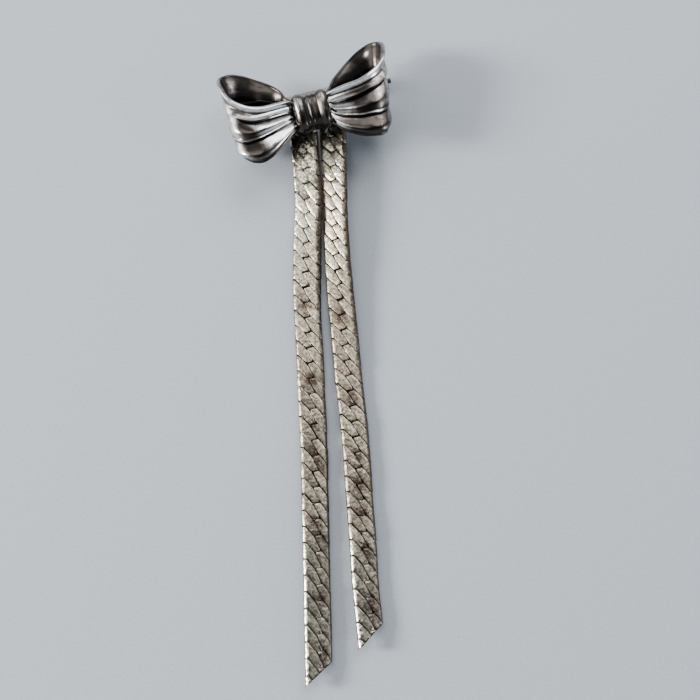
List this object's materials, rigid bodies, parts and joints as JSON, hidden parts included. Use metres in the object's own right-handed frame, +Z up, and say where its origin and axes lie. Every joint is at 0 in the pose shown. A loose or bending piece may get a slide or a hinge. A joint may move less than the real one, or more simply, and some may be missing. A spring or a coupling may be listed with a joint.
{
  "type": "bow brooch with chain tails",
  "caption": "Silver bow brooch lying on its back: two pleated ribbon loops in a fluted knot, flat curb chain tails cut on the slant, and a pin behind.",
  "frame": {"origin": "on the surface that it lies on, under the middle of its box", "axes": "+Z up and out of the bow's front, +Y from the tails' tips to the bow, +X to the wearer's left"},
  "size_m": [0.0269, 0.0976, 0.0093],
  "materials": {
    "bow_silver": "polished silver, oxidised dark in the folds",
    "tail_silver": "satin silver with brown tarnish",
    "pin_metal": "dull white metal"
  },
  "bodies": {
    "root": {"bow_loop_left": "bow_silver", "bow_loop_right": "bow_silver", "knot": "bow_silver", "tail_chain_left": "tail_silver", "tail_chain_right": "tail_silver", "tail_tip_left": "tail_silver", "tail_tip_right": "tail_silver", "pin_back": "pin_metal"}
  },
  "joints": []
}
